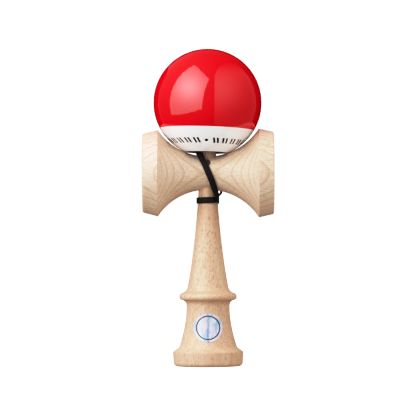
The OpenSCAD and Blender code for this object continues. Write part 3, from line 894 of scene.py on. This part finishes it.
def filmFinish():
    f = filmSet
    material, w, shader = newFinish("pearlFilm")
    x, y, z = placeInMm(w)
    up = z - labelSet["height"]
    wave = w.noise(w.point(x * f["blueSize"][0], 0.0, up * f["blueSize"][1]))
    colour = w.mixColour(wave.step(*f["blueStep"]), f["pearl"], f["blue"])
    pinkWave = w.noise(w.point(x * f["pinkSize"][0] + f["pinkSeed"], 0.0, up * f["pinkSize"][1]))
    colour = w.mixColour(pinkWave.step(*f["pinkStep"]), colour, f["pink"])
    wander = (w.noise(w.point(up * f["wanderSize"], f["wanderSeed"], 0.0)) - 0.5) * f["wander"]
    glare = 1 - (x + wander).bent("ABSOLUTE").step(*f["glareWidth"])
    glareColour = w.mixColour(up.step(-f["glareRise"], f["glareRise"]), f["glareLow"], f["glareHigh"])
    colour = w.mixColour(glare * f["glareShare"], colour, glareColour)
    reach = (x * x + up * up).bent("SQRT")
    colour = w.mixColour((reach > f["rimIn"]) * (reach < f["rimOut"]), colour, f["rim"])
    linkFinish(w.tree, shader, colour=colour, roughness=f["roughness"] + wave * f["waveRough"])
    return material


setFinish(baseLabel, filmFinish())


# Braid: fine slanted strands that meet along the middle of the cord

braidSet = {
    "dark": linear(13, 11, 11), "light": linear(34, 30, 29), "ridgeLight": 0.5, "threadLight": 0.4,
    "pitch": 2.1, "slant": 0.55, "threads": (9.0, 60.0), "threadDetail": 3.0, "threadMix": 0.6,
    "roughness": 0.62, "threadRough": 0.25, "specular": 0.3,
    "ridgeHigh": 0.7, "threadHigh": 0.3, "bump": 0.5, "bumpReach": 0.08,
}


def braidFinish():
    b = braidSet
    material, w, shader = newFinish("blackBraid", b["specular"])
    uv = w.node("UVMap", {"uv_map": "alongCord"})
    u, v = (w.node("SeparateXYZ", None, {0: uv}, k) for k in (0, 1))
    across = (v * (2 * math.pi)).bent("COSINE")
    plait = (u * b["pitch"] + across.bent("ABSOLUTE") * b["slant"]).bent("FRACT") - 0.5
    ridge = 1 - plait.bent("ABSOLUTE") * 2
    threadPoint = w.point(u * b["threads"][0], v * b["threads"][1], 0.0)
    thread = w.noise(threadPoint, detail=b["threadDetail"], rough=b["threadMix"])
    colour = w.mixColour(ridge * b["ridgeLight"] + thread * b["threadLight"], b["dark"], b["light"])
    height = ridge * b["ridgeHigh"] + thread * b["threadHigh"]
    linkFinish(
        w.tree, shader, colour=colour, roughness=b["roughness"] + thread * b["threadRough"],
        normal=w.bump(height, b["bump"], b["bumpReach"] * mm))
    return material


blackBraid = braidFinish()
setFinish(flatCord, blackBraid)
setFinish(stopKnot, blackBraid)
print("label and braid finished")


# Studio: white all round for the camera, soft lights for the wood, panels for the ball to mirror

studioSet = {
    "ambient": 0.62, "ambientColour": (1.0, 0.975, 0.94), "floorGlow": 1.25, "floorColour": 0.8,
    "domeRadius": 4.0, "domeGlow": 1.35, "tableGlow": 0.5, "tableColour": (1.0, 0.925, 0.84),
    "lights": {
        "leftBox": {"spot": (-0.88, -0.72, 0.55), "size": 0.9, "power": 8.0, "colour": (0.95, 1.0, 1.1)},
        "rightFill": {"spot": (0.98, -0.45, 0.5), "size": 0.9, "power": 3.9, "colour": (0.98, 1.0, 1.05),
                      "without": ("red", "white")},
        "topBox": {"spot": (-0.2, -0.1, 1.2), "size": 0.8, "power": 4.6},
        "handleSide": {"spot": (-1.0, -0.25, 0.2), "size": 0.5, "power": 1.5, "colour": (0.88, 1.02, 1.22),
                       "only": ("handle",)},
        "cupFront": {"spot": (-0.55, -0.95, 0.35), "size": 0.6, "power": 0.7, "only": ("cup",)},
        "ballFill": {"spot": (-0.75, -0.45, 0.3), "size": 0.5, "power": 1.2, "only": ("red", "white")},
        "ballRight": {"spot": (0.98, -0.45, 0.35), "size": 0.9, "power": 1.9, "only": ("red", "white")},
        "bandCard": {"spot": (0.0, -0.18, 0.005), "size": 0.25, "power": 0.25, "colour": (0.97, 1.0, 1.04),
                     "only": ("white",)},
    },
    # what the film makes of the light: dark tones sink and bright ones roll off
    "filmWhite": 1.3,
    "film": [
        (0.03, 0.014), (0.15, 0.085), (0.295, 0.205), (0.41, 0.345), (0.55, 0.52), (0.66, 0.65),
        (0.78, 0.765), (0.9, 0.825), (1.02, 0.89), (1.15, 0.945),
    ],
}


def glowFinish(name, strength, colour=(1, 1, 1)):
    material = bpy.data.materials.new(name)
    material.use_nodes = True
    tree = material.node_tree
    tree.nodes.clear()
    glow = Wire(tree).node("Emission", None, {"Strength": strength, "Color": (*colour, 1)})
    tree.links.new(glow.socket, tree.nodes.new("ShaderNodeOutputMaterial").inputs["Surface"])
    return material


def paperFinish():
    material, _, shader = newFinish("whitePaper", specular=0.0)
    shader.inputs["Base Color"].default_value = (studioSet["floorColour"],) * 3 + (1,)
    shader.inputs["Roughness"].default_value = 1.0
    shader.inputs["Emission Color"].default_value = (1, 1, 1, 1)
    shader.inputs["Emission Strength"].default_value = studioSet["floorGlow"]
    return material


def showOnlyTo(thing, camera=False, gloss=False, diffuse=False):
    thing.visible_camera = camera
    thing.visible_glossy = gloss
    thing.visible_diffuse = diffuse
    thing.visible_transmission = False
    thing.visible_shadow = False


def addWorld():
    world = bpy.data.worlds.new("studioAir")
    world.use_nodes = True
    back = world.node_tree.nodes["Background"]
    back.inputs["Color"].default_value = (*studioSet["ambientColour"], 1)
    back.inputs["Strength"].default_value = studioSet["ambient"]
    world.cycles_visibility.glossy = False
    bpy.context.scene.world = world


def setFilm():
    view = bpy.context.scene.view_settings
    view.view_transform = "Standard"
    view.use_curve_mapping = True
    film = view.curve_mapping
    film.white_level = (studioSet["filmWhite"],) * 3
    allColours = film.curves[3].points
    for light, shown in studioSet["film"]:
        allColours.new(light / studioSet["filmWhite"], shown)
    film.update()


def nameStage(name, material, **seenBy):
    # names and finishes what was added last
    thing = bpy.context.object
    thing.name = name
    setFinish(thing, material)
    showOnlyTo(thing, **seenBy)
    return thing


def addFloor():
    radius = studioSet["domeRadius"]
    deselectAll()
    bpy.ops.mesh.primitive_circle_add(vertices=96, radius=radius, fill_type="TRIFAN")
    floor = nameStage("studioFloor", paperFinish(), camera=True)
    deselectAll()
    bpy.ops.mesh.primitive_uv_sphere_add(segments=64, ring_count=32, radius=radius)
    dome = nameStage("studioDome", glowFinish("whiteAir", studioSet["domeGlow"]), camera=True)
    deselectAll()
    bpy.ops.mesh.primitive_circle_add(vertices=64, radius=radius, fill_type="TRIFAN")
    tableLight = glowFinish("tableLight", studioSet["tableGlow"], studioSet["tableColour"])
    table = nameStage("tableBounce", tableLight, diffuse=True)


def addLights():
    named = {"red": redLacquer, "white": whiteLacquer, "handle": turnedHandle, "cup": crossCup}
    for name, spec in studioSet["lights"].items():
        data = bpy.data.lights.new(name, "AREA")
        data.energy = spec["power"]
        data.size = spec["size"]
        data.color = spec.get("colour", (1, 1, 1))
        lamp = bpy.data.objects.new(name, data)
        lamp.location = spec["spot"]
        forBall = "white" in spec.get("only", ())
        target = ballPlace.translation if forBall else Vector((0, 0, cameraSet["height"]))
        lamp.rotation_euler = (target - lamp.location).to_track_quat("-Z", "Y").to_euler()
        lamp.visible_glossy = False
        bpy.context.scene.collection.objects.link(lamp)
        for word, state in (("only", "INCLUDE"), ("without", "EXCLUDE")):
            if word in spec:
                lit = bpy.data.collections.new(name + "Lit")
                for piece in spec[word]:
                    lit.objects.link(named[piece])
                for link in lit.collection_objects:
                    link.light_linking.link_state = state
                lamp.light_linking.receiver_collection = lit


# each panel as the ball mirrors it to the camera, in radii right of and above its middle:
# its outline, and a glow that falls off from one spot towards its edge
panelSet = {
    "leftPanel": {
        "reach": 1.0, "spot": (-0.33, 0.28), "peak": 7.2, "edge": 3.0, "spread": 0.3, "rings": 12,
        "outline": [
            (-0.228, 0.68), (0.031, 0.42), (-0.021, 0.305), (-0.053, 0.2), (-0.08, 0.07), (-0.099, -0.077),
            (-0.106, -0.133), (-0.19, -0.145), (-0.228, -0.165), (-0.36, -0.195), (-0.507, -0.218),
            (-0.66, -0.218), (-0.681, -0.12), (-0.687, -0.018), (-0.681, 0.085), (-0.655, 0.204),
            (-0.611, 0.307), (-0.544, 0.425), (-0.448, 0.54), (-0.331, 0.63)]},
    "rightPanel": {
        "reach": 1.0, "spot": (0.2, 0.27), "peak": 2.0, "edge": 0.3, "spread": 0.36, "rings": 12,
        "fade": {"top": 0.78, "run": 0.24},
        "outline": [
            (0.125, 0.336), (0.134, 0.483), (0.171, 0.587), (0.23, 0.668), (0.318, 0.72), (0.407, 0.74),
            (0.495, 0.71), (0.614, 0.624), (0.746, 0.484), (0.835, 0.307), (0.88, 0.13), (0.895, -0.018),
            (0.874, -0.165), (0.83, -0.32), (0.78, -0.43), (0.74, -0.47), (0.125, -0.47)]},
    "softGlow": {
        "reach": 1.1, "spot": (-0.38, 0.37), "peak": 0.6, "edge": 0.0, "spread": 0.6, "rings": 40,
        "rim": {"glow": 0.3, "leftOf": -0.5, "beyond": 0.895, "up": -0.05, "half": 0.5},
        "outline": arcLine((0, 0), 0.97, -115, 135, steps=20) + arcLine((0, 0), 0.905, 145, 235, steps=10)},
}
mirrorSet = {"plain": 0.04, "lacquer": 0.08, "grazePower": 5, "leastDepth": 0.0004, "edgeSteps": 4}


def depthAt(dx, dz, least=0.0):
    # how far the ball stands out towards the camera there
    return math.sqrt(max(1 - dx * dx - dz * dz, least))


def mirroredSpot(dx, dz, reach):
    c = depthAt(dx, dz, mirrorSet["leastDepth"])
    return ballPlace.translation + Vector((2 * c * dx, 1 - 2 * c * c, 2 * c * dz)) * reach


def panelGlow(spec, dx, dz):
    away = math.dist((dx, dz), spec["spot"]) / spec["spread"]
    glow = spec["edge"] + spec["peak"] * math.exp(-away * away)
    fade, rim = spec.get("fade"), spec.get("rim")
    if fade:
        glow *= clamped((fade["top"] - dz) / fade["run"])
    if rim and dx < rim["leftOf"] and math.hypot(dx, dz) > rim["beyond"]:
        glow += rim["glow"] * clamped(1 - abs(dz - rim["up"]) / rim["half"])
    # the lacquer mirrors twice as much as plain gloss in its middle, so less glow does there
    graze = (1 - depthAt(dx, dz)) ** mirrorSet["grazePower"]
    return glow * mixed(mirrorSet["plain"], 1, graze) / mixed(mirrorSet["lacquer"], 1, graze)


def panelFinish(name):
    material, w, shader = newFinish(name, specular=0.0)
    shader.inputs["Base Color"].default_value = (0, 0, 0, 1)
    shader.inputs["Emission Strength"].default_value = 1.0
    glow = w.node("Attribute", {"attribute_name": "glow"}, out="Color")
    w.tree.links.new(glow.socket, shader.inputs["Emission Color"])
    return material


def addPanels():
    for name, spec in panelSet.items():
        outline = []
        for a, b in zip(spec["outline"], spec["outline"][1:] + spec["outline"][:1]):
            outline += straightLine(a, b, mirrorSet["edgeSteps"])[:-1]
        rings, count = spec["rings"], len(outline)
        middle = [sum(p[k] for p in outline) / count for k in (0, 1)]
        spots, faces = [middle], []
        for i in range(1, rings + 1):
            spots += [[mixed(middle[k], p[k], i / rings) for k in (0, 1)] for p in outline]
        for k in range(count):
            n = (k + 1) % count
            faces.append((0, 1 + k, 1 + n))
            for i in range(rings - 1):
                a = 1 + i * count
                faces.append((a + k, a + count + k, a + count + n, a + n))
        panel = meshPiece(name, [mirroredSpot(*spot, spec["reach"]) for spot in spots], faces)
        glow = panel.data.color_attributes.new("glow", "FLOAT_COLOR", "POINT")
        for corner, spot in zip(glow.data, spots):
            corner.color = (panelGlow(spec, *spot),) * 3 + (1,)
        setFinish(panel, panelFinish(name + "Glow"))
        showOnlyTo(panel, gloss=True)


addWorld()
setFilm()
addFloor()
addLights()
addPanels()
print("studio lit")
